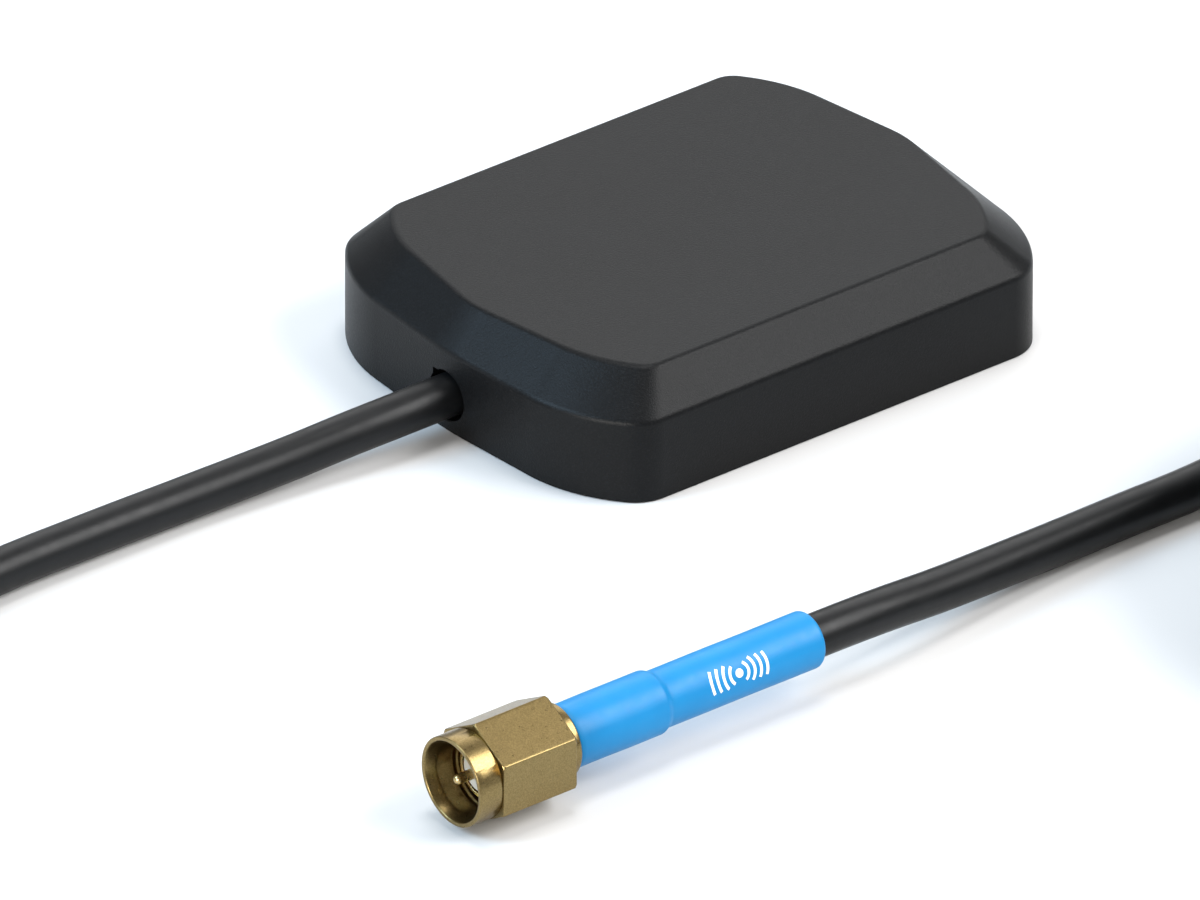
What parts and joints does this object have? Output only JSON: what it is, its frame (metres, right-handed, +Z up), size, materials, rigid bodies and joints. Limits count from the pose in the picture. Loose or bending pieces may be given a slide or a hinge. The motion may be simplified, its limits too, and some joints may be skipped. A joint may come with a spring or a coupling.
{
  "type": "gnss antenna",
  "caption": "Flat magnetic-mount satellite navigation antenna with a thin coaxial lead, coiled for storage, that ends in a screw-on coaxial plug.",
  "frame": {"origin": "centre of the underside of the antenna housing, on the surface it stands on", "axes": "+Z up out of the top of the housing; the housing's long axis, and the plug's axis, point 38.5 degrees from +X towards +Y, away from the lead's exit"},
  "size_m": [0.1831, 0.1325, 0.017],
  "materials": {
    "housing_plastic": "fine-grained moulded black plastic",
    "floor_plastic": "moulded black plastic",
    "seal_rubber": "soft black rubber",
    "pad_rubber": "fine-textured black rubber",
    "screw_steel": "bright zinc-plated steel",
    "magnet_metal": "nickel-plated",
    "board_laminate": "green solder mask",
    "shield_metal": "tin-plated sheet",
    "chip_plastic": "moulded black epoxy",
    "small_ceramic": "fired ceramic",
    "silver_layer": "fired silver",
    "patch_ceramic": "fired ceramic",
    "solder_metal": "bright solder",
    "foam": "open-cell foam",
    "lead_jacket": "satin black cable jacket",
    "braid_metal": "woven copper braid",
    "core_plastic": "white polyethylene",
    "copper": "bare copper",
    "plug_brass": "satin gold-plated brass, finely grained",
    "plug_gold": "gold-plated brass",
    "gasket_rubber": "red silicone",
    "plug_ptfe": "white PTFE",
    "sleeve_plastic": "satin blue heat-shrink",
    "tie_plastic": "black plastic-coated twist tie"
  },
  "bodies": {
    "antenna": {"top_housing": "housing_plastic", "base_plate": "floor_plastic", "seal_ring": "seal_rubber", "bottom_pad": "pad_rubber", "base_screw_1": "screw_steel", "base_screw_2": "screw_steel", "base_screw_3": "screw_steel", "base_screw_4": "screw_steel", "magnet_1": "magnet_metal", "magnet_2": "magnet_metal", "magnet_3": "magnet_metal", "magnet_4": "magnet_metal", "amplifier_board": "board_laminate", "shield_can": "shield_metal", "amplifier_chip": "chip_plastic", "filter_chip": "small_ceramic", "bias_choke": "chip_plastic", "bypass_capacitor_1": "small_ceramic", "bypass_capacitor_2": "small_ceramic", "ground_electrode": "silver_layer", "patch_ceramic": "patch_ceramic", "patch_electrode": "silver_layer", "feed_pin": "solder_metal", "foam_pad": "foam", "lead_grommet": "seal_rubber", "lead_clamp": "screw_steel", "lead_jacket_end": "lead_jacket", "lead_braid_end": "braid_metal", "lead_dielectric_end": "core_plastic", "lead_conductor_end": "copper", "lead_housing_side": "lead_jacket", "lead_coil": "lead_jacket", "lead_plug_side": "lead_jacket", "coil_tie_1": "tie_plastic", "coil_tie_2": "tie_plastic", "plug_body": "plug_gold", "plug_shoulder": "plug_gold", "plug_gasket": "gasket_rubber", "plug_insulator": "plug_ptfe", "plug_pin": "plug_gold", "lead_core_in_plug": "core_plastic", "lead_braid_in_plug": "braid_metal", "crimp_ferrule": "plug_brass", "heat_shrink_sleeve": "sleeve_plastic"},
    "snap_ring": {"snap_ring": "plug_brass"},
    "coupling_nut": {"coupling_nut": "plug_brass"}
  },
  "joints": [
    {"name": "nut_float", "type": "slide", "parent": "antenna", "child": "snap_ring", "axis": [-0.7826, -0.6225, 0], "range_m": [0, 0.0003]},
    {"name": "nut_spin", "type": "hinge", "parent": "snap_ring", "child": "coupling_nut", "pos_m": [-0.01599, -0.07879, 0.00466], "axis": [-0.7826, -0.6225, 0], "continuous": true}
  ]
}
